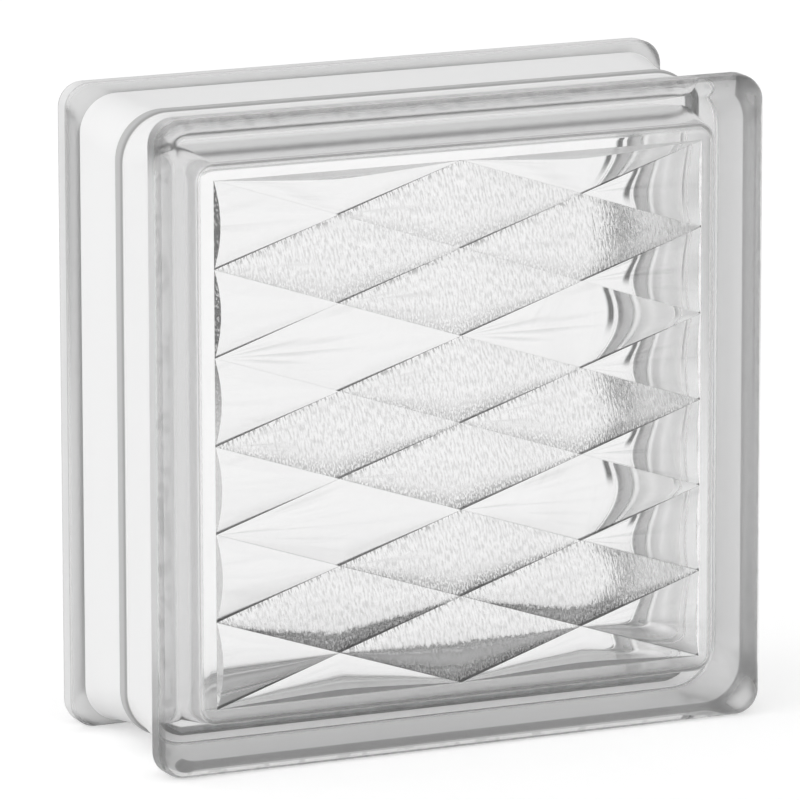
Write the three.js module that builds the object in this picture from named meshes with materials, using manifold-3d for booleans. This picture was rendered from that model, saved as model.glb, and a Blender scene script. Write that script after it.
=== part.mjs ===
// Hollow glass block for a 200 mm wall grid: two pressed half shells fused along a seam at mid depth.
// Frame: X runs across the faces, Y through the depth (the front face looks along -Y), Z is up.
// The origin is at the middle of the foot that the block stands on. Units are millimetres.

import * as THREE from "three";
import { mergeVertices } from "three/addons/utils/BufferGeometryUtils.js";
import Module from "manifold-3d";

const wasm = await Module();
wasm.setup();

// --- Overall size ---------------------------------------------------------------------------
const BLOCK_WIDTH = 190;
const BLOCK_HEIGHT = 190;
const BLOCK_DEPTH = 80;

// --- Rim: the raised border of each half that the block stands on -----------------------------
const RIM_EDGE_RADIUS = 5; // rounding from the face to the land
const RIM_LAND_WIDTH = 4.5; // flat band round the outside of the rim
const RIM_CORNER_RADIUS = 7.5; // corners of the block, seen square to the face
const FLANK_RUN = 3.5; // how far the rim's inner flank reaches towards the seam
const FLANK_BLEND_RUN = 4; // soft foot between the flank and the channel floor

// --- Mortar channel between the two rims -----------------------------------------------------
const CHANNEL_INSET_AT_RIM = 2.6; // below the land, at the foot of the flank
const CHANNEL_INSET_AT_SEAM = 4.4; // below the land, beside the seam bead
const CHANNEL_CORNER_RADIUS = 14;
const SEAM_BEAD_WIDTH = 5.6; // rounded weld bead over both halves
const SEAM_BEAD_HEIGHT = 1;

// --- Cavity: the hollow that the plunger leaves in each half -----------------------------------
const FACE_THICKNESS = 9.5; // outer face to the flat bottom of the hollow
const SEAM_WALL = 7; // wall at the seam, from the channel floor to the cavity
const CAVITY_DRAFT_DEGREES = 4.5; // the cavity widens towards the seam so that the plunger lets go
const FRONT_FILLET_RADIUS = 3.2; // where the wall meets the front face, close round the relief
const REAR_FILLET_RADIUS = 4; // the same on the rear half, whose face is plain inside
const CAVITY_CORNER_RADIUS = 8;

// --- Diamond relief, pressed into the inside of the front face ----------------------------------
const PANEL_BORDER = 18.5; // outside of the rim to the edge of the relief
const DIAMONDS_ACROSS = 2; // whole diamonds side by side
const DIAMONDS_DOWN = 6; // whole diamonds one above the other
const LENS_DEPTH = 1.8; // how far each hollow lens reaches into the face
const CREASE_STEP = 0.1; // the creases lie this much nearer the front than the plain border
const CREST_SHARPNESS = 8; // the higher, the sharper the ridge at the middle of each lens
const SIDE_WALL_RUN = 1.5; // slope of the walls that cut the lenses off at left and right
const TOP_WALL_RUN = 2.2; // slope of the walls that cut them off above and below

// --- Fineness of the curves --------------------------------------------------------------------
const CORNER_SEGMENTS = 8;
const EDGE_SEGMENTS = 5;
const FLANK_SEGMENTS = 5;
const BEAD_SEGMENTS = 4;
const FILLET_SEGMENTS = 4;
const LENS_SEGMENTS_ALONG = 6; // from the sharp corner of a diamond to its middle
const LENS_SEGMENTS_ACROSS = 6;
const CUT_OVERRUN = 1; // how far a cutting solid runs past the face that it opens

const glass = new THREE.MeshStandardMaterial({
  color: 0xe6efec,
  roughness: 0.05,
  metalness: 0,
  transparent: true,
  opacity: 0.35,
});

const halfWidth = BLOCK_WIDTH / 2;
const halfHeight = BLOCK_HEIGHT / 2;
const halfDepth = BLOCK_DEPTH / 2;
const panelHalfWidth = halfWidth - PANEL_BORDER;
const panelHalfHeight = halfHeight - PANEL_BORDER;

// A section of the block: a rectangle inset all round from the outside of the rim, with round
// corners, at a depth below the front face. Z is measured from the middle of the face.
function section(depth, inset, cornerRadius) {
  const x = halfWidth - inset - cornerRadius;
  const z = halfHeight - inset - cornerRadius;
  const corners = [
    [x, z, 0],
    [-x, z, 1],
    [-x, -z, 2],
    [x, -z, 3],
  ];
  const points = [];
  for (const [cx, cz, quarter] of corners) {
    for (let i = 0; i <= CORNER_SEGMENTS; i += 1) {
      const angle = (quarter + i / CORNER_SEGMENTS) * (Math.PI / 2);
      const px = cx + cornerRadius * Math.cos(angle);
      const pz = cz + cornerRadius * Math.sin(angle);
      points.push(new THREE.Vector3(px, depth - halfDepth, pz));
    }
  }
  return points;
}

// A closed solid through a row of sections, ordered from the front to the rear.
function loft(sections) {
  const positions = [];
  const triangle = (a, b, c) => {
    for (const p of [a, b, c]) positions.push(p.x, p.y, p.z);
  };
  const count = sections[0].length;
  for (let s = 0; s + 1 < sections.length; s += 1) {
    for (let i = 0; i < count; i += 1) {
      const j = (i + 1) % count;
      const [a, b] = [sections[s][i], sections[s][j]];
      const [c, d] = [sections[s + 1][i], sections[s + 1][j]];
      triangle(a, c, d);
      triangle(a, d, b);
    }
  }
  const first = sections[0];
  const last = sections[sections.length - 1];
  for (let i = 1; i + 1 < count; i += 1) {
    triangle(first[0], first[i], first[i + 1]);
    triangle(last[0], last[i + 1], last[i]);
  }
  return solidFromTriangles(positions);
}

// A manifold solid from a flat list of triangle corners that enclose it.
function solidFromTriangles(positions) {
  const geometry = new THREE.BufferGeometry();
  geometry.setAttribute("position", new THREE.Float32BufferAttribute(positions, 3));
  const merged = mergeVertices(geometry, 1e-4);
  const solid = new wasm.Manifold(
    new wasm.Mesh({
      numProp: 3,
      vertProperties: merged.attributes.position.array,
      triVerts: new Uint32Array(merged.index.array),
    }),
  );
  return solid;
}

function meshFromSolid(name, solid) {
  const { vertProperties, triVerts } = solid.getMesh();
  const geometry = new THREE.BufferGeometry();
  geometry.setAttribute("position", new THREE.BufferAttribute(vertProperties, 3));
  geometry.setIndex(new THREE.BufferAttribute(triVerts, 1));
  geometry.computeVertexNormals();
  const mesh = new THREE.Mesh(geometry, glass);
  mesh.name = name;
  return mesh;
}

// The outside of one half: rounded rim, flat land, flank, drafted channel and half of the bead.
function outerBody() {
  const sections = [];
  for (let i = 0; i <= EDGE_SEGMENTS; i += 1) {
    const angle = (i / EDGE_SEGMENTS) * (Math.PI / 2);
    const inset = RIM_EDGE_RADIUS * (1 - Math.sin(angle));
    const depth = RIM_EDGE_RADIUS * (1 - Math.cos(angle));
    sections.push(section(depth, inset, RIM_CORNER_RADIUS - inset));
  }

  const landEnd = RIM_EDGE_RADIUS + RIM_LAND_WIDTH;
  const flankFoot = landEnd + FLANK_RUN;
  const blendEnd = flankFoot + FLANK_BLEND_RUN;
  const beadStart = halfDepth - SEAM_BEAD_WIDTH / 2;
  const channelInset = (depth) =>
    THREE.MathUtils.mapLinear(
      depth,
      flankFoot,
      beadStart,
      CHANNEL_INSET_AT_RIM,
      CHANNEL_INSET_AT_SEAM,
    );
  const cornerRadius = (inset) =>
    THREE.MathUtils.mapLinear(
      inset,
      0,
      CHANNEL_INSET_AT_SEAM,
      RIM_CORNER_RADIUS,
      CHANNEL_CORNER_RADIUS,
    );
  const flank = new THREE.QuadraticBezierCurve(
    new THREE.Vector2(landEnd, 0),
    new THREE.Vector2(flankFoot, CHANNEL_INSET_AT_RIM),
    new THREE.Vector2(blendEnd, channelInset(blendEnd)),
  );
  for (const { x: depth, y: inset } of flank.getPoints(FLANK_SEGMENTS)) {
    sections.push(section(depth, inset, cornerRadius(inset)));
  }

  for (let i = 0; i <= BEAD_SEGMENTS; i += 1) {
    const angle = (i / BEAD_SEGMENTS) * (Math.PI / 2);
    const depth = halfDepth - (SEAM_BEAD_WIDTH / 2) * Math.cos(angle);
    const inset = CHANNEL_INSET_AT_SEAM - SEAM_BEAD_HEIGHT * Math.sin(angle);
    sections.push(section(depth, inset, CHANNEL_CORNER_RADIUS));
  }
  return loft(sections);
}

// The hollow of one half: a drafted box with filleted edges that runs out past the seam.
function cavityBody(filletRadius) {
  const draft = Math.tan(THREE.MathUtils.degToRad(CAVITY_DRAFT_DEGREES));
  const insetAtSeam = CHANNEL_INSET_AT_SEAM + SEAM_WALL;
  const wallInset = (depth) => insetAtSeam + draft * (halfDepth - depth);
  const filletTop = FACE_THICKNESS + filletRadius;
  const sections = [];
  for (let i = 0; i <= FILLET_SEGMENTS; i += 1) {
    const angle = (i / FILLET_SEGMENTS) * (Math.PI / 2);
    const step = filletRadius * (1 - Math.sin(angle));
    const depth = filletTop - filletRadius * Math.cos(angle);
    const inset = wallInset(filletTop) + step;
    sections.push(section(depth, inset, CAVITY_CORNER_RADIUS - step));
  }
  const mouth = halfDepth + CUT_OVERRUN;
  sections.push(section(mouth, wallInset(mouth), CAVITY_CORNER_RADIUS));
  return loft(sections);
}

// Height of a lens above its creases. "along" runs from a sharp corner (0) to the middle (1) and
// "across" from one crease (-1) over the crown (0) to the other (1).
function lensHeight(along, across) {
  const crest = (along - along ** CREST_SHARPNESS / CREST_SHARPNESS) / (1 - 1 / CREST_SHARPNESS);
  return LENS_DEPTH * crest * (1 - across * across);
}

// Half of a diamond as surface points: it opens from its sharp corner at (x, z) towards the middle
// column. A corner on the top or bottom edge of the panel gives only the part inside the panel.
function halfDiamond(x, z, direction, reachX, reachZ) {
  const cutBelow = z - reachZ < -panelHalfHeight - reachZ / 2;
  const cutAbove = z + reachZ > panelHalfHeight + reachZ / 2;
  const from = cutBelow ? 0 : -1;
  const to = cutAbove ? 0 : 1;
  const steps = (LENS_SEGMENTS_ACROSS * (to - from)) / 2;
  const rows = [];
  for (let i = 0; i <= LENS_SEGMENTS_ALONG; i += 1) {
    const along = i / LENS_SEGMENTS_ALONG;
    const row = [];
    for (let j = 0; j <= steps; j += 1) {
      const across = from + (to - from) * (j / steps);
      row.push([
        x + direction * along * reachX,
        z + across * along * reachZ,
        CREASE_STEP + lensHeight(along, across),
      ]);
    }
    rows.push(row);
  }
  return rows;
}

// All the lenses of the panel as one closed slab, from CUT_OVERRUN inside the cavity up to the
// surface of the glass.
function lensSlab() {
  const columns = 2 * DIAMONDS_ACROSS;
  const reachX = (2 * panelHalfWidth) / columns;
  const reachZ = panelHalfHeight / DIAMONDS_DOWN;
  const patches = [];
  for (let column = 0; column <= columns; column += 1) {
    const x = -panelHalfWidth + column * reachX;
    const offset = column % 2;
    for (let row = 0; row <= DIAMONDS_DOWN - offset; row += 1) {
      const z = -panelHalfHeight + (2 * row + offset) * reachZ;
      if (column > 0) patches.push([halfDiamond(x, z, -1, reachX, reachZ), -1]);
      if (column < columns) patches.push([halfDiamond(x, z, 1, reachX, reachZ), 1]);
    }
  }

  const positions = [];
  const edges = new Map();
  const floorY = FACE_THICKNESS - halfDepth;
  const baseY = floorY + CUT_OVERRUN;
  const key = (p) => `${p[0].toFixed(4)},${p[1].toFixed(4)}`;
  const surface = (p) => positions.push(p[0], floorY - p[2], p[1]);
  const base = (p) => positions.push(p[0], baseY, p[1]);
  const addTriangle = (a, b, c) => {
    const names = [key(a), key(b), key(c)];
    if (new Set(names).size < 3) return;
    [a, b, c].forEach(surface);
    [a, c, b].forEach(base);
    for (const [p, q] of [[a, b], [b, c], [c, a]]) {
      const back = `${key(q)}|${key(p)}`;
      if (edges.has(back)) edges.delete(back);
      else edges.set(`${key(p)}|${key(q)}`, [p, q]);
    }
  };
  for (const [rows, direction] of patches) {
    for (let i = 0; i + 1 < rows.length; i += 1) {
      for (let j = 0; j + 1 < rows[i].length; j += 1) {
        const [a, b] = [rows[i][j], rows[i][j + 1]];
        const [c, d] = [rows[i + 1][j], rows[i + 1][j + 1]];
        if (direction > 0) {
          addTriangle(a, c, d);
          addTriangle(a, d, b);
        } else {
          addTriangle(a, d, c);
          addTriangle(a, b, d);
        }
      }
    }
  }
  for (const [p, q] of edges.values()) {
    surface(p);
    base(p);
    base(q);
    surface(p);
    base(q);
    surface(q);
  }
  return solidFromTriangles(positions);
}

// The sloping walls round the panel, as the tapered solid that they enclose.
function panelFrustum() {
  const floorY = FACE_THICKNESS - halfDepth;
  const rectangle = (height) => {
    const x = panelHalfWidth - (SIDE_WALL_RUN * height) / LENS_DEPTH;
    const z = panelHalfHeight - (TOP_WALL_RUN * height) / LENS_DEPTH;
    const y = floorY - height;
    return [
      new THREE.Vector3(x, y, z),
      new THREE.Vector3(-x, y, z),
      new THREE.Vector3(-x, y, -z),
      new THREE.Vector3(x, y, -z),
    ];
  };
  return loft([rectangle(LENS_DEPTH + 2 * CREASE_STEP), rectangle(-CUT_OVERRUN)]);
}

const relief = lensSlab().intersect(panelFrustum());
const frontHollow = cavityBody(FRONT_FILLET_RADIUS).add(relief);
const rearHollow = cavityBody(REAR_FILLET_RADIUS);

const frontHalf = meshFromSolid("front_half_shell", outerBody().subtract(frontHollow));
const rearHalf = meshFromSolid("rear_half_shell", outerBody().subtract(rearHollow));
rearHalf.rotation.z = Math.PI; // pressed as the front one is, then turned round to close it

const block = new THREE.Group();
block.add(frontHalf, rearHalf);
block.position.z = halfHeight;

export default block;
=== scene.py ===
import bpy
import bmesh
import math
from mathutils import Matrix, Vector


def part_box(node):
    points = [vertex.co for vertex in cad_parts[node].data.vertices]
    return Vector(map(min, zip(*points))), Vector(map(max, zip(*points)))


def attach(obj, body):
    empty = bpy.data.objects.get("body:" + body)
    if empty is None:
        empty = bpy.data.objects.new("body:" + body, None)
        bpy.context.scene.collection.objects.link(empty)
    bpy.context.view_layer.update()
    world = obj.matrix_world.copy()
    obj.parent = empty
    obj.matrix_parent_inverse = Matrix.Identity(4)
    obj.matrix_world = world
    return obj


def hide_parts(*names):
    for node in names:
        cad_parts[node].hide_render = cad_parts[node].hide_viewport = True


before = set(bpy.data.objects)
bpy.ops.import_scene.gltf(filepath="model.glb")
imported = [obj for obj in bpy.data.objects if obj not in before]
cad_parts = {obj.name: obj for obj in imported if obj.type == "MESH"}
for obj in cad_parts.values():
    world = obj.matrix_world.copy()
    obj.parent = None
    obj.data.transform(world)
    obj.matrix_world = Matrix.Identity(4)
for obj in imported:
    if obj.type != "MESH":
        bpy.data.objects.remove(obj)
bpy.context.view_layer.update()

# --- Camera -----------------------------------------------------------------------------------------
# A long lens a good two metres off, to the left of the block's middle and above it. It is turned to
# the right and down towards the block, with a slight lean. The angles are in degrees.
focal_pixels = 8063.0
frame_pixels = 800.0
sensor_width = 36.0
look_down = 12.09
lean = 0.10
turn_right = 24.48
camera_data = bpy.data.cameras.new("camera")
camera_data.sensor_width = sensor_width
camera_data.lens = camera_data.sensor_width * focal_pixels / frame_pixels
camera = bpy.data.objects.new("camera", camera_data)
bpy.context.scene.collection.objects.link(camera)
camera.location = (-0.9499, -2.0804, 0.585)
camera.rotation_euler = (
    math.radians(90.0 - look_down),
    math.radians(lean),
    math.radians(-turn_right),
)
bpy.context.scene.camera = camera
bpy.context.scene.view_settings.view_transform = "Standard"

# --- Outside of the block ---------------------------------------------------------------------------
# Soda-lime glass, pressed as two half shells that are fused at mid depth, so it is one skin here:
# two raised rims with rounded edges, a drafted mortar channel and a bead over the seam.
low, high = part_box("front_half_shell")
block_width = high.x - low.x
block_height = high.z - low.z
front_y = low.y
half_depth = -front_y
middle_z = (high.z + low.z) / 2

rim_edge_radius = 0.005
rim_land = 0.0045
rim_corner = 0.0075
flank_run = 0.0035
flank_blend = 0.004
channel_inset_rim = 0.0026
channel_inset_seam = 0.0044
channel_corner = 0.014
bead_width = 0.0056
bead_height = 0.001
corner_segments = 16
curve_segments = 10
touching = 1e-6
land_end = rim_edge_radius + rim_land
flank_foot = land_end + flank_run
blend_end = flank_foot + flank_blend
bead_start = half_depth - bead_width / 2


def select_nothing():
    for thing in bpy.context.selected_objects:
        thing.select_set(False)


def open_mesh(name):
    """A new empty mesh object, left in edit mode."""
    select_nothing()
    piece = bpy.data.objects.new(name, bpy.data.meshes.new(name))
    bpy.context.scene.collection.objects.link(piece)
    bpy.context.view_layer.objects.active = piece
    piece.select_set(True)
    bpy.ops.object.mode_set(mode="EDIT")
    return piece


def add_ring(depth, inset, corner):
    """Adds a rounded rectangle across the block, at a depth behind the front face."""
    bpy.ops.mesh.select_all(action="DESELECT")
    bpy.ops.mesh.primitive_plane_add(
        size=1.0, location=(0, front_y + depth, middle_z), rotation=(math.pi / 2, 0, 0)
    )
    bpy.ops.transform.resize(value=(block_width - 2 * inset, 1, block_height - 2 * inset))
    bpy.ops.mesh.bevel(
        offset=corner, offset_type="OFFSET", segments=corner_segments, affect="VERTICES"
    )
    bpy.ops.mesh.delete(type="ONLY_FACE")


def open_skin(name, rings):
    """A skin over rings of (depth, inset, corner radius), left in edit mode and all selected."""
    piece = open_mesh(name)
    for depth, inset, corner in rings:
        add_ring(depth, inset, corner)
    bpy.ops.mesh.select_all(action="SELECT")
    bpy.ops.mesh.bridge_edge_loops()
    return piece


def channel_inset(depth):
    share = (depth - flank_foot) / (bead_start - flank_foot)
    return channel_inset_rim + share * (channel_inset_seam - channel_inset_rim)


def outside_sections():
    """(depth, inset, corner radius) from the front face to the crown of the bead."""
    sections = []
    for step in range(curve_segments + 1):
        turn = step / curve_segments * math.pi / 2
        inset = rim_edge_radius * (1 - math.sin(turn))
        depth = rim_edge_radius * (1 - math.cos(turn))
        sections.append((depth, inset, rim_corner - inset))
    for step in range(curve_segments + 1):
        t = step / curve_segments
        depth = (1 - t) ** 2 * land_end + 2 * t * (1 - t) * flank_foot + t * t * blend_end
        inset = 2 * t * (1 - t) * channel_inset_rim + t * t * channel_inset(blend_end)
        corner = rim_corner + (channel_corner - rim_corner) * inset / channel_inset_seam
        sections.append((depth, inset, corner))
    for step in range(curve_segments + 1):
        turn = step / curve_segments * math.pi / 2
        depth = half_depth - bead_width / 2 * math.cos(turn)
        inset = channel_inset_seam - bead_height * math.sin(turn)
        sections.append((depth, inset, channel_corner))
    return sections


def behind_seam(part):
    """The same sections on the rear half, in order from the seam to the rear face."""
    return [(2 * half_depth - depth, inset, corner) for depth, inset, corner in reversed(part)]


sections = outside_sections()
block = open_skin("glass_block", sections + behind_seam(sections[:-1]))


def select_open_edges(piece, place):
    """Selects the edges with one face whose ends are all at a place, and nothing else."""
    bpy.ops.mesh.select_mode(type="EDGE")
    bpy.ops.mesh.select_all(action="DESELECT")
    mesh = bmesh.from_edit_mesh(piece.data)
    for edge in mesh.edges:
        if len(edge.link_faces) == 1 and all(place(vert.co) for vert in edge.verts):
            edge.select = True
    mesh.select_flush_mode()
    bmesh.update_edit_mesh(piece.data)


def at_depth(depth):
    return lambda co: abs(co.y - front_y - depth) < touching


for depth in (0, 2 * half_depth):
    select_open_edges(block, at_depth(depth))
    bpy.ops.mesh.edge_face_add()
bpy.ops.mesh.select_all(action="SELECT")
bpy.ops.mesh.normals_make_consistent(inside=False)
bpy.ops.object.mode_set(mode="OBJECT")

# --- Relief of the front panel ----------------------------------------------------------------------
# The plunger presses rows of hollow lenses in long diamonds into the inside of the front face. They
# are cut off by sloping walls round the panel. The rear half is plain inside.
face_thickness = 0.0095
panel_border = 0.0185
columns = 4
rows_down = 6
lens_depth = 0.0018
crease_step = 0.0001
crest_sharpness = 8
side_wall_run = 0.0015
top_wall_run = 0.0022
cells_per_reach = 14
lens_tip = 1e-9
cut_slack = 1e-7
wall_slack = 1e-8
corner_slack = 1e-5
panel_half_width = block_width / 2 - panel_border
panel_half_height = block_height / 2 - panel_border
reach_x = 2 * panel_half_width / columns
reach_z = panel_half_height / rows_down
floor_y = front_y + face_thickness


def lens_place(x, z):
    """(along, off_axis) in the half diamond that holds a point, from its sharp corner on."""
    from_left = (x + panel_half_width) / reach_x
    column = min(max(int(from_left), 0), columns - 1)
    along = from_left - column
    off_axis = abs(((z + panel_half_height) / reach_z - column % 2 + 1) % 2 - 1)
    if off_axis > along:
        return 1 - along, 1 - off_axis
    return along, off_axis


def lens_height(x, z):
    along, off_axis = lens_place(x, z)
    if along < lens_tip:
        return crease_step
    crest = (along - along**crest_sharpness / crest_sharpness) / (1 - 1 / crest_sharpness)
    return crease_step + lens_depth * crest * (1 - (off_axis / along) ** 2)


# A fine grid whose squares are halved along the creases, one way in every second cell and the
# other way in the rest, and then pressed to the height of the lenses.
relief = open_mesh("relief")
bpy.ops.mesh.primitive_grid_add(
    x_subdivisions=columns * cells_per_reach,
    y_subdivisions=2 * rows_down * cells_per_reach,
    size=1.0,
    location=(0, floor_y, middle_z),
    rotation=(math.pi / 2, 0, 0),
)
bpy.ops.transform.resize(value=(2 * panel_half_width, 1, 2 * panel_half_height))
mesh = bmesh.from_edit_mesh(relief.data)
for face in mesh.faces:
    face.select = False
for face in mesh.faces:
    centre = face.calc_center_median()
    column = int((centre.x + panel_half_width) / reach_x)
    row = int((centre.z - middle_z + panel_half_height) / reach_z)
    face.select = (column + row) % 2 == 0
bmesh.update_edit_mesh(relief.data)
bpy.ops.mesh.quads_convert_to_tris(quad_method="FIXED")
bpy.ops.mesh.select_all(action="SELECT")
bpy.ops.mesh.quads_convert_to_tris(quad_method="FIXED_ALTERNATE")
mesh = bmesh.from_edit_mesh(relief.data)
for vert in mesh.verts:
    vert.co.y = floor_y - lens_height(vert.co.x, vert.co.z - middle_z)
bmesh.update_edit_mesh(relief.data)

# Four planes that slope in from the edges of the panel cut the lenses off. The cut edges are then
# drawn down the slopes, to the foot of each wall.
walls = [
    (axis, sign, half, run)
    for axis, half, run in (
        (0, panel_half_width, side_wall_run),
        (2, panel_half_height, top_wall_run),
    )
    for sign in (-1, 1)
]
for axis, sign, half, run in walls:
    foot = [0, floor_y, middle_z]
    foot[axis] += sign * half
    outward = [0, -run, 0]
    outward[axis] = sign * lens_depth
    bpy.ops.mesh.select_all(action="SELECT")
    bpy.ops.mesh.bisect(plane_co=foot, plane_no=outward, clear_outer=True, threshold=cut_slack)


def on_wall(axis, sign, half, run):
    """A test for points on one sloping wall, above its foot."""
    middle = (0, 0, middle_z)[axis]

    def test(co):
        height = floor_y - co.y
        off_plane = (sign * (co[axis] - middle) - half) * lens_depth + height * run
        return height > touching and abs(off_plane) < wall_slack

    return test


for axis, sign, half, run in walls:
    select_open_edges(relief, on_wall(axis, sign, half, run))
    bpy.ops.mesh.extrude_edges_move()
    mesh = bmesh.from_edit_mesh(relief.data)
    foot = [vert.co for vert in mesh.verts if vert.select]
    other = 2 - axis
    middle = (0, 0, middle_z)
    panel_half = (panel_half_width, 0, panel_half_height)
    reach = max(abs(co[other] - middle[other]) for co in foot)
    for co in foot:
        co.y = floor_y
        co[axis] = middle[axis] + sign * half
        if abs(co[other] - middle[other]) > reach - corner_slack:
            side = math.copysign(1, co[other] - middle[other])
            co[other] = middle[other] + side * panel_half[other]
    bmesh.update_edit_mesh(relief.data)
bpy.ops.mesh.select_all(action="SELECT")
bpy.ops.mesh.remove_doubles(threshold=touching)
bpy.ops.object.mode_set(mode="OBJECT")

# --- Cavity -----------------------------------------------------------------------------------------
# Behind each face the plunger leaves a drafted hollow with soft corners. The two fused halves close
# it off, so dry air stays sealed between the two faces.
seam_wall = 0.007
cavity_draft = math.tan(math.radians(4.5))
front_fillet = 0.0032
rear_fillet = 0.004
cavity_corner = 0.0055
sharp_angle = math.radians(20)


def wall_inset(depth):
    return channel_inset_seam + seam_wall + cavity_draft * (half_depth - depth)


def cavity_sections(fillet):
    """(depth, inset, corner radius) from the flat round the panel to the seam."""
    top = face_thickness + fillet
    sections = []
    for step in range(curve_segments + 1):
        turn = step / curve_segments * math.pi / 2
        inset = fillet * (1 - math.sin(turn))
        depth = top - fillet * math.cos(turn)
        sections.append((depth, wall_inset(top) + inset, cavity_corner - inset))
    sections.append((half_depth, wall_inset(half_depth), cavity_corner))
    return sections


def join_pieces(target, other):
    """Joins another mesh object into the target, which stays the active one."""
    select_nothing()
    other.select_set(True)
    target.select_set(True)
    bpy.context.view_layer.objects.active = target
    bpy.ops.object.join()


hollow = open_skin(
    "cavity", cavity_sections(front_fillet) + behind_seam(cavity_sections(rear_fillet)[:-1])
)
bpy.ops.object.mode_set(mode="OBJECT")

# The relief is set into the front of the hollow, and a flat face closes the rear.
join_pieces(hollow, relief)
bpy.ops.object.mode_set(mode="EDIT")
select_open_edges(hollow, at_depth(2 * half_depth - face_thickness))
bpy.ops.mesh.edge_face_add()
select_open_edges(hollow, at_depth(face_thickness))
bpy.ops.mesh.bridge_edge_loops()
bpy.ops.mesh.select_all(action="SELECT")
bpy.ops.mesh.normals_make_consistent(inside=True)
bpy.ops.object.mode_set(mode="OBJECT")
join_pieces(block, hollow)
bpy.ops.object.shade_smooth_by_angle(angle=sharp_angle)
weights = block.modifiers.new("normals", "WEIGHTED_NORMAL")
weights.keep_sharp = True
bpy.ops.object.modifier_apply(modifier="normals")

# --- Glass of the block -----------------------------------------------------------------------------
# One clear glass, a little grey where it is thick. The skin of the rims and the channel is satin, as
# the mould leaves it, and fine upright strokes stipple three large diamonds of the relief.
glass_ior = 1.52
glass_color = (0.98, 0.98, 0.98, 1)
panel_color = (0.89, 0.89, 0.89, 1)
# Painted shade: the dark flecks, fan lines and crease lines in the glass's colour stand in for light
# that the relief bends away.
fleck_shade_color = (0.05, 0.05, 0.05, 1)
crease_shade_color = (0.02, 0.02, 0.02, 1)
glass_grey = (0.5, 0.5, 0.5, 1)
grey_density = 7.5


def new_material(name):
    """A material with its nodes and its shader."""
    material = bpy.data.materials.new(name)
    material.use_nodes = True
    return material, material.node_tree, material.node_tree.nodes["Principled BSDF"]


def link_or_set(socket, value):
    """Feeds a socket from another socket, or sets it to a plain value."""
    if isinstance(value, bpy.types.NodeSocket):
        socket.id_data.links.new(value, socket)
    else:
        socket.default_value = value


def add_math(operation, first, second=0.0):
    node = tree.nodes.new("ShaderNodeMath")
    node.operation = operation
    link_or_set(node.inputs[0], first)
    link_or_set(node.inputs[1], second)
    return node.outputs["Value"]


def add_slope(value, start, end, at_start=0.0, at_end=1.0):
    """A smooth change from one level to another while a value runs from start to end."""
    node = tree.nodes.new("ShaderNodeMapRange")
    node.interpolation_type = "SMOOTHSTEP"
    link_or_set(node.inputs["Value"], value)
    link_or_set(node.inputs["From Min"], start)
    link_or_set(node.inputs["From Max"], end)
    link_or_set(node.inputs["To Min"], at_start)
    link_or_set(node.inputs["To Max"], at_end)
    return node.outputs["Result"]


def add_mix(share, first, second):
    node = tree.nodes.new("ShaderNodeMix")
    node.data_type = "RGBA"
    link_or_set(node.inputs["Factor"], share)
    link_or_set(node.inputs["A"], first)
    link_or_set(node.inputs["B"], second)
    return node.outputs["Result"]


def add_noise(place, scale):
    node = tree.nodes.new("ShaderNodeTexNoise")
    node.inputs["Scale"].default_value = scale
    node.inputs["Detail"].default_value = 1.0
    tree.links.new(place, node.inputs["Vector"])
    return node.outputs["Fac"]


def add_vector(x, y, z):
    node = tree.nodes.new("ShaderNodeCombineXYZ")
    link_or_set(node.inputs["X"], x)
    link_or_set(node.inputs["Y"], y)
    link_or_set(node.inputs["Z"], z)
    return node.outputs["Vector"]


def split_vector(vector):
    node = tree.nodes.new("ShaderNodeSeparateXYZ")
    tree.links.new(vector, node.inputs["Vector"])
    return node.outputs


def add_place():
    """Where a point lies in the block's own frame."""
    return tree.nodes.new("ShaderNodeTexCoord").outputs["Object"]


glass, tree, shader = new_material("clear_glass")
shader.inputs["IOR"].default_value = glass_ior
shader.inputs["Transmission Weight"].default_value = 1.0
absorption = tree.nodes.new("ShaderNodeVolumeAbsorption")
absorption.inputs["Color"].default_value = glass_grey
absorption.inputs["Density"].default_value = grey_density
tree.links.new(absorption.outputs["Volume"], tree.nodes["Material Output"].inputs["Volume"])
place = add_place()
across, depth_y, level_z = split_vector(place)
height = add_math("SUBTRACT", level_z, middle_z)
off_centre = add_math("ABSOLUTE", across)
off_level = add_math("ABSOLUTE", height)
off_seam = add_math("ABSOLUTE", depth_y)

# The satin skin is all that lies far enough out from the core of the block, from the end of the
# front edge's rounding to just before the rear face.
satin_roughness = 0.35
satin_skin = 0.0075
core_border = 0.02
rear_satin_depth = 0.0002
beyond_x = add_math("SUBTRACT", off_centre, block_width / 2 - core_border)
beyond_z = add_math("SUBTRACT", off_level, block_height / 2 - core_border)
beyond_x = add_math("MAXIMUM", beyond_x, 0.0)
beyond_z = add_math("MAXIMUM", beyond_z, 0.0)
beyond_x = add_math("MULTIPLY", beyond_x, beyond_x)
beyond_z = add_math("MULTIPLY", beyond_z, beyond_z)
reach_out = add_math("ADD", beyond_x, beyond_z)
on_skin = add_math("GREATER_THAN", reach_out, (core_border - satin_skin) ** 2)
past_edge = add_math("GREATER_THAN", depth_y, rim_edge_radius - half_depth)
before_back = add_math("LESS_THAN", depth_y, half_depth - rear_satin_depth)
satin = add_math("MULTIPLY", on_skin, add_math("MULTIPLY", past_edge, before_back))
satin = add_math("MULTIPLY", satin, satin_roughness)

# The walls of the cavity are a little soft, all round the panel and back to the rear face.
wall_roughness = 0.12
cavity_slack = 0.0001
past_x = add_math("SUBTRACT", off_centre, panel_half_width)
past_z = add_math("SUBTRACT", off_level, panel_half_height)
past_panel = add_math("GREATER_THAN", add_math("MAXIMUM", past_x, past_z), 0.0)
in_cavity = add_math("LESS_THAN", off_seam, -floor_y - cavity_slack)
on_cavity_wall = add_math("MULTIPLY", past_panel, add_math("SUBTRACT", in_cavity, on_skin))
soft_wall = add_math("MULTIPLY", on_cavity_wall, wall_roughness)

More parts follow.
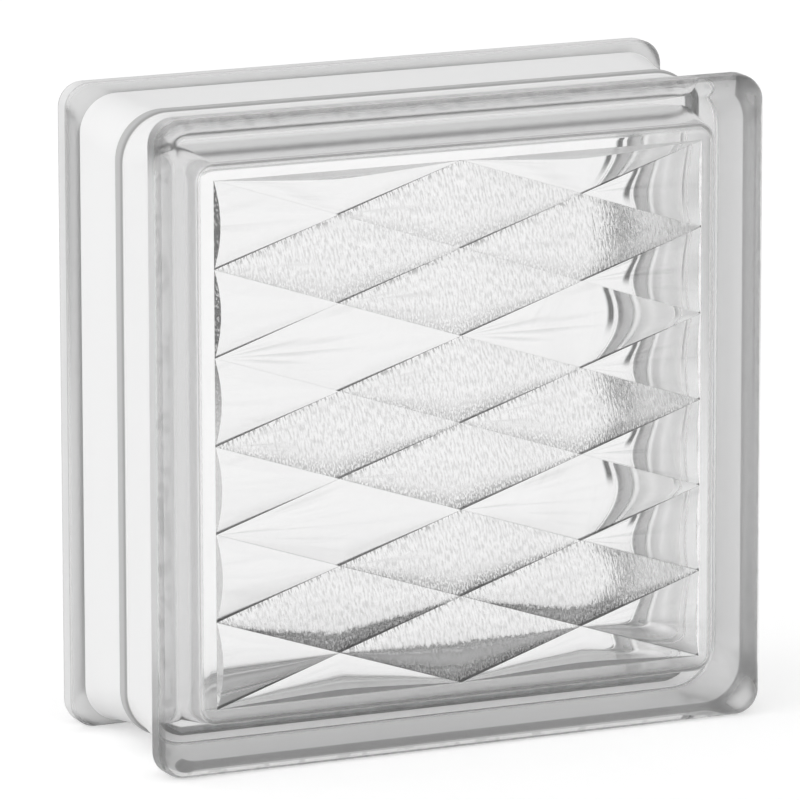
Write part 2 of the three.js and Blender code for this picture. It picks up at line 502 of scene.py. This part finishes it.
# Over the relief, over_rising and over_falling run from 0 at one crease to 1 at the next one up,
# across the creases that rise to the right and across those that fall.
column_place = add_math("DIVIDE", across, reach_x)
row_place = add_math("DIVIDE", height, reach_z)
crease_pitch = 2 * reach_x * reach_z / math.hypot(reach_x, reach_z)
over_rising = add_math("SUBTRACT", row_place, column_place)
over_rising = add_math("FRACT", add_math("MULTIPLY", over_rising, 0.5))
over_falling = add_math("ADD", row_place, column_place)
over_falling = add_math("FRACT", add_math("MULTIPLY", over_falling, 0.5))
inside_x = add_math("LESS_THAN", past_x, 0.0)
inside_z = add_math("LESS_THAN", past_z, 0.0)
behind_face = add_math("GREATER_THAN", depth_y, floor_y - 2 * lens_depth)
before_air = add_math("LESS_THAN", depth_y, floor_y + lens_depth)
on_relief = add_math("MULTIPLY", inside_x, inside_z)
on_relief = add_math("MULTIPLY", on_relief, add_math("MULTIPLY", behind_face, before_air))

# Three large diamonds of four lenses each are stippled. Their strokes are noise drawn out along the
# height, pressed in as a bump, with a dark tint of painted shade for the light the stipple scatters.
stroke_scale = 1500.0
stroke_stretch = 0.3
stroke_lean = 0.2
stroke_height = 0.00012
stroke_low = 0.36
stroke_high = 0.72
stroke_level = 0.44
rows_from_first = add_math("MULTIPLY", row_place, 0.5)
rows_from_first = add_math("SUBTRACT", panel_half_height / (2 * reach_z) - 1, rows_from_first)
columns_off = add_math("ABSOLUTE", add_math("MULTIPLY", column_place, 0.5))
from_middle = add_math("ADD", add_math("PINGPONG", rows_from_first, 1.0), columns_off)
stippled = add_math("MULTIPLY", add_math("LESS_THAN", from_middle, 1.0), on_relief)


def add_flecks(scale, stretch):
    """Upright flecks, leaning a little."""
    leaning = add_math("ADD", across, add_math("MULTIPLY", height, stroke_lean))
    return add_noise(add_vector(leaning, 0.0, add_math("MULTIPLY", height, stretch)), scale)


stroke = add_flecks(stroke_scale, stroke_stretch)
painted_stroke_shade = add_math("MULTIPLY", add_slope(stroke, stroke_low, stroke_high), stroke_level)

# Painted shade: above the two lower edges of each lens the stipple is painted darker and finer, most
# at the lens's bottom corner, and more so low down on the panel, for the dim floor that the lenses
# show there. Short dashes of painted shade hang below the creases that rise.
grain_scale = 2000.0
grain_stretch = 0.45
grain_low = 0.4
grain_high = 0.56
rising_zone = 0.012
falling_zone = 0.011
falling_level = 0.8
zone_end = 0.002
edge_fade = 0.55
dash_zone = 0.003
dash_level = 0.8
dash_low = 0.48
dash_high = 0.6
grain = add_flecks(grain_scale, grain_stretch)
low_down = add_slope(height, panel_half_height, -panel_half_height, edge_fade)
narrow_end = zone_end / crease_pitch
rising_width = add_slope(over_falling, 0.0, 1.0, rising_zone / crease_pitch, narrow_end)
falling_width = add_slope(over_rising, 0.0, 1.0, falling_zone / crease_pitch, narrow_end)
near_rising = add_slope(over_rising, 0.0, rising_width, 1.0, 0.0)
near_falling = add_slope(over_falling, 0.0, falling_width, falling_level, 0.0)
grain_depth = add_math("MULTIPLY", add_math("MAXIMUM", near_rising, near_falling), low_down)
painted_grain_shade = add_math("MULTIPLY", add_slope(grain, grain_low, grain_high), grain_depth)
under_rising = add_slope(over_rising, 1.0 - dash_zone / crease_pitch, 1.0, 0.0, dash_level)
painted_dash_shade = add_math("MULTIPLY", add_slope(stroke, dash_low, dash_high), under_rising)
painted_fleck_shade = add_math("MAXIMUM", painted_stroke_shade, add_math("MAXIMUM", painted_grain_shade, painted_dash_shade))
painted_fleck_shade = add_math("MULTIPLY", painted_fleck_shade, stippled)

# Faint lines of painted shade fan out over every lens from its left tip, for the shading of its
# curved face.
fan_count = 7.0
fan_low = 0.5
fan_high = 0.8
fan_level = 0.4
fan_tip = 0.001
from_tip = add_math("SUBTRACT", add_math("ADD", over_falling, 1.0), over_rising)
turned = add_math("DIVIDE", over_falling, add_math("MAXIMUM", from_tip, fan_tip))
fan_place = add_vector(
    add_math("MULTIPLY", turned, fan_count), from_tip, add_math("FLOOR", row_place)
)
fan = add_noise(fan_place, 1.0)
painted_fan_shade = add_math("MULTIPLY", add_slope(fan, fan_low, fan_high), fan_level)
painted_fan_shade = add_math("MULTIPLY", painted_fan_shade, add_slope(from_tip, 0.0, 2.0, 1.0, 0.0))
painted_fan_shade = add_math("MULTIPLY", painted_fan_shade, on_relief)

# Painted shade: the creases that rise show as dark lines, wide at each lens's bottom corner and fine
# at its right tip, and finer higher up on the panel. Those that fall are hairlines of painted shade,
# faint but for low down.
crease_wide = 0.0013
crease_fine = 0.0001
crease_fade = 0.55
hairline = 0.0004
hairline_level = 0.6
hairline_fade = 0.2
crease_width = add_slope(
    over_falling, 0.0, 1.0, crease_wide / crease_pitch, crease_fine / crease_pitch
)
crease_width = add_math(
    "MULTIPLY", crease_width, add_slope(height, panel_half_height, -panel_half_height, crease_fade)
)
crease_shade = add_slope(over_rising, add_math("MULTIPLY", crease_width, 0.5), crease_width, 1.0, 0.0)
fine_width = hairline / crease_pitch
fine_crease_shade = add_slope(over_falling, 0.5 * fine_width, fine_width, hairline_level, 0.0)
fine_crease_shade = add_math(
    "MULTIPLY", fine_crease_shade, add_slope(height, 0.0, -panel_half_height, hairline_fade)
)
crease_shade = add_math("MULTIPLY", add_math("MAXIMUM", crease_shade, fine_crease_shade), on_relief)

# The sloping wall at the left end of the lenses is painted dark and grained in the panel's upper
# half:
# painted shade for the near-black it shows through the glass there.
end_wall_slack = 2e-9
end_shade_low = -0.01
end_shade_high = 0.03
end_grain_low = 0.36
end_grain_high = 0.46
end_grain_level = 0.4
wall_height = add_math("MULTIPLY", add_math("SUBTRACT", floor_y, depth_y), side_wall_run)
off_wall = add_math("ADD", add_math("MULTIPLY", past_x, lens_depth), wall_height)
end_wall = add_math("GREATER_THAN", off_wall, -end_wall_slack)
end_wall = add_math("MULTIPLY", end_wall, add_math("LESS_THAN", across, 0.0))
end_wall_painted_shade = add_slope(height, end_shade_low, end_shade_high)
end_wall_painted_shade = add_math(
    "MULTIPLY", end_wall_painted_shade, add_slope(grain, end_grain_low, end_grain_high, end_grain_level)
)
end_wall = add_math("MULTIPLY", add_math("MULTIPLY", end_wall, end_wall_painted_shade), on_relief)

# Faint dark specks of painted shade lie on the rounded edges of both faces, for the mottled light
# the clear edges refract.
edge_mark_scale = 260.0
edge_mark_low = 0.5
edge_mark_high = 0.62
edge_mark_level = 0.28
edge_mark_start = 0.0355
edge_mark_end = 0.0394
on_edge = add_math("GREATER_THAN", off_seam, edge_mark_start)
on_edge = add_math("MULTIPLY", on_edge, add_math("LESS_THAN", off_seam, edge_mark_end))
edge_mark = add_noise(place, edge_mark_scale)
marks = add_slope(edge_mark, edge_mark_low, edge_mark_high, 0.0, edge_mark_level)
edge_speck_shade = add_math("MULTIPLY", marks, on_edge)

# The glass's colour: the panel's tone, with painted shade laid over it from the edge specks, the
# flecks, the fan lines, the creases and the end wall.
tint = add_mix(on_relief, glass_color, panel_color)
tint = add_mix(edge_speck_shade, tint, fleck_shade_color)
tint = add_mix(add_math("MAXIMUM", painted_fleck_shade, painted_fan_shade), tint, fleck_shade_color)
tint = add_mix(add_math("MAXIMUM", crease_shade, end_wall), tint, crease_shade_color)
tree.links.new(tint, shader.inputs["Base Color"])
tree.links.new(add_math("MAXIMUM", satin, soft_wall), shader.inputs["Roughness"])
bump = tree.nodes.new("ShaderNodeBump")
bump.inputs["Distance"].default_value = stroke_height
bump.inputs["Strength"].default_value = 1.0
tree.links.new(add_math("MULTIPLY", stroke, stippled), bump.inputs["Height"])
tree.links.new(bump.outputs["Normal"], shader.inputs["Normal"])

block.data.materials.append(glass)
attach(block, "root")
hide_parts("front_half_shell", "rear_half_shell")

# --- Edge coating -----------------------------------------------------------------------------------
# A thin white coat, sprayed on the mortar channel of the finished block so that mortar grips it. It
# reaches part way up the flanks of both rims. On the seam bead it is painted grey, darkest at the
# bead's foot: painted shade for the bead's flanks, which face the dim front. It lets some light
# through, and from inside the glass it is far clearer than from outside.
coat_start = 0.0145
coat_gap = 0.0001
coat_color = (0.95, 0.95, 0.95, 1)
coat_roughness = 0.7
coat_shine = 0.1
coat_clear_inside = 0.7
coat_share_through = 0.1
bead_shade_color = (0.55, 0.55, 0.55, 1)
bead_foot_shade_color = (0.3, 0.3, 0.3, 1)
bead_edge = 0.0004
bead_crown = 0.0012
coat_sharp_angle = math.radians(30)
coat_sections = [
    (depth, inset - coat_gap, corner + coat_gap)
    for depth, inset, corner in sections
    if depth > coat_start
]
coating = open_skin("edge_coating", coat_sections + behind_seam(coat_sections[:-1]))
bpy.ops.mesh.normals_make_consistent(inside=False)
bpy.ops.object.mode_set(mode="OBJECT")
bpy.ops.object.shade_smooth_by_angle(angle=coat_sharp_angle)

white_coat, tree, shader = new_material("white_coating")
off_seam = add_math("ABSOLUTE", split_vector(add_place())["Y"])
# Painted shade on the seam bead, darker from its crown to its foot.
on_bead = add_slope(off_seam, bead_width / 2 - bead_edge, bead_width / 2, 1.0, 0.0)
to_foot = add_slope(off_seam, bead_crown, bead_width / 2)
bead_painted_shade = add_mix(to_foot, bead_shade_color, bead_foot_shade_color)
tree.links.new(add_mix(on_bead, coat_color, bead_painted_shade), shader.inputs["Base Color"])
facing = tree.nodes.new("ShaderNodeNewGeometry")
clear_inside = add_math("MULTIPLY", facing.outputs["Backfacing"], coat_clear_inside)
tree.links.new(add_math("SUBTRACT", 1.0, clear_inside), shader.inputs["Alpha"])
shader.inputs["Roughness"].default_value = coat_roughness
shader.inputs["Specular IOR Level"].default_value = coat_shine
translucent = tree.nodes.new("ShaderNodeBsdfTranslucent")
translucent.inputs["Color"].default_value = coat_color
mix_through = tree.nodes.new("ShaderNodeMixShader")
mix_through.inputs["Fac"].default_value = coat_share_through
tree.links.new(shader.outputs["BSDF"], mix_through.inputs[1])
tree.links.new(translucent.outputs["BSDF"], mix_through.inputs[2])
tree.links.new(mix_through.outputs["Shader"], tree.nodes["Material Output"].inputs["Surface"])
coating.data.materials.append(white_coat)
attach(coating, "root")

# --- Rim film ---------------------------------------------------------------------------------------
# The same spray thins out over the sides of both rims, between the coating and the rounded edges of
# the faces. On the satin glass it is a grey veil of painted shade, and on the rear rim's land it is
# light and thick, a painted highlight.
film_start = 0.002
film_inset = 0.00005
rear_film_start = 0.0005
rear_film_gap = 0.00002
film_shade_color = (0.4, 0.4, 0.4, 1)
film_cover = 0.42
film_roughness = 0.9
land_highlight_color = (0.92, 0.92, 0.92, 1)
land_cover = 0.8
land_soft = 0.001
edge_soft = 0.0025
film_rings = [
    (depth, inset + film_inset, corner - film_inset)
    for depth, inset, corner in sections
    if film_start < depth < blend_end + touching
]
rear_film_rings = [
    (2 * half_depth - depth, inset - rear_film_gap, corner + rear_film_gap)
    for depth, inset, corner in sections
    if rear_film_start < depth <= coat_sections[0][0]
]
film = open_skin("rim_shade_film", film_rings)
bpy.ops.object.mode_set(mode="OBJECT")
rear_film = open_skin("rear_rim_shade_film", rear_film_rings)
bpy.ops.object.mode_set(mode="OBJECT")
join_pieces(film, rear_film)
bpy.ops.object.shade_smooth_by_angle(angle=coat_sharp_angle)

grey_shade_film, tree, shader = new_material("grey_shade_film")
depth_y = split_vector(add_place())["Y"]
rear_land = half_depth - land_end
on_rear_land = add_slope(depth_y, rear_land - land_soft, rear_land + land_soft)
rear_edge = half_depth - rim_edge_radius
before_edge = add_slope(depth_y, rear_edge, rear_edge + edge_soft, 1.0, 0.0)
land_painted_highlight = add_math("MULTIPLY", on_rear_land, before_edge)
# Grey painted shade on the rims, with a light painted highlight on the rear rim's land.
tree.links.new(add_mix(land_painted_highlight, film_shade_color, land_highlight_color), shader.inputs["Base Color"])
shader.inputs["Roughness"].default_value = film_roughness
shader.inputs["Specular IOR Level"].default_value = 0.0
cover = add_slope(on_rear_land, 0.0, 1.0, film_cover, land_cover)
tree.links.new(cover, shader.inputs["Alpha"])
film.data.materials.append(grey_shade_film)
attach(film, "root")

# --- Floor and light --------------------------------------------------------------------------------
# A plain white floor that runs on behind the block, under a soft studio sky that is brighter low
# down and to the left. For what shines through the glass, the floor is dim close to the block and in
# a strip far off behind it, to the right, as where a studio's backdrop ends.
sky_direction = (-0.5, -0.18, -0.85)
sky_dim = 0.48
sky_bright = 2.15
world = bpy.data.worlds.new("studio")
bpy.context.scene.world = world
world.use_nodes = True
tree = world.node_tree


def add_vector_math(operation, first, second=(0, 0, 0)):
    node = tree.nodes.new("ShaderNodeVectorMath")
    node.operation = operation
    link_or_set(node.inputs[0], first)
    link_or_set(node.inputs[1], second)
    return node.outputs


sky_place = tree.nodes.new("ShaderNodeTexCoord").outputs["Generated"]
towards = add_vector_math("DOT_PRODUCT", sky_place, sky_direction)["Value"]
level = tree.nodes.new("ShaderNodeMapRange")
level.inputs["From Min"].default_value = -1.0
level.inputs["From Max"].default_value = 1.0
level.inputs["To Min"].default_value = sky_dim
level.inputs["To Max"].default_value = sky_bright
tree.links.new(towards, level.inputs["Value"])
tree.links.new(level.outputs["Result"], tree.nodes["Background"].inputs["Strength"])
tree.nodes["Background"].inputs["Color"].default_value = (1, 1, 1, 1)

floor_size = 40.0
floor_color = (0.75, 0.75, 0.75, 1)
floor_glow = 0.42
floor_roughness = 0.9
select_nothing()
bpy.ops.mesh.primitive_plane_add(size=floor_size, location=(0, 0, 0))
floor = bpy.context.active_object
floor.name = "floor"
white_floor, tree, shader = new_material("white_floor")
shader.inputs["Roughness"].default_value = floor_roughness
shader.inputs["Specular IOR Level"].default_value = 0.0
shader.inputs["Emission Color"].default_value = (1, 1, 1, 1)
place = add_place()

# The dim strip lies between two bearings from the block, measured from straight right, and fades in
# with the distance.
shade_color = (0.1, 0.1, 0.1, 1)
shade_start = math.cos(math.radians(54.0))
shade_full = math.cos(math.radians(44.0))
shade_fade = math.cos(math.radians(36.0))
shade_end = math.cos(math.radians(28.0))
shade_near = 0.4
shade_far = 0.7
to_the_right = split_vector(add_vector_math("NORMALIZE", place)["Vector"])["X"]
away = add_vector_math("LENGTH", place)["Value"]
shade = add_slope(to_the_right, shade_start, shade_full)
shade = add_math("MULTIPLY", shade, add_slope(away, shade_near, shade_far))
beyond_shade = add_slope(to_the_right, shade_fade, shade_end)
shade = add_math("MULTIPLY", shade, add_math("SUBTRACT", 1.0, beyond_shade))

# Under the block the floor gets little light, out to a short way round it.
under_light = 0.22
under_block = 0.09
clear_of_block = 0.12
depth_stretch = 2.2
beside = add_vector_math("MULTIPLY", place, (1, depth_stretch, 0))["Vector"]
distance = add_vector_math("LENGTH", beside)["Value"]
clear_floor = add_slope(distance, under_block, clear_of_block, under_light)

lit = add_math("MULTIPLY", add_math("SUBTRACT", 1.0, shade), clear_floor)
ray = tree.nodes.new("ShaderNodeLightPath")
through = add_math("MAXIMUM", ray.outputs["Is Glossy Ray"], ray.outputs["Is Transmission Ray"])
seen = add_math("MAXIMUM", ray.outputs["Is Camera Ray"], add_math("MULTIPLY", through, lit))
tree.links.new(add_math("MULTIPLY", seen, floor_glow), shader.inputs["Emission Strength"])
floor_seen = add_mix(add_math("MULTIPLY", through, shade), floor_color, shade_color)
tree.links.new(floor_seen, shader.inputs["Base Color"])
floor.data.materials.append(white_floor)

# Light passes through many faces of the glass before it comes out again, so its paths are long.
scene = bpy.context.scene
scene.cycles.max_bounces = 36
scene.cycles.transmission_bounces = 32
scene.cycles.glossy_bounces = 12
scene.cycles.diffuse_bounces = 12
scene.cycles.blur_glossy = 0
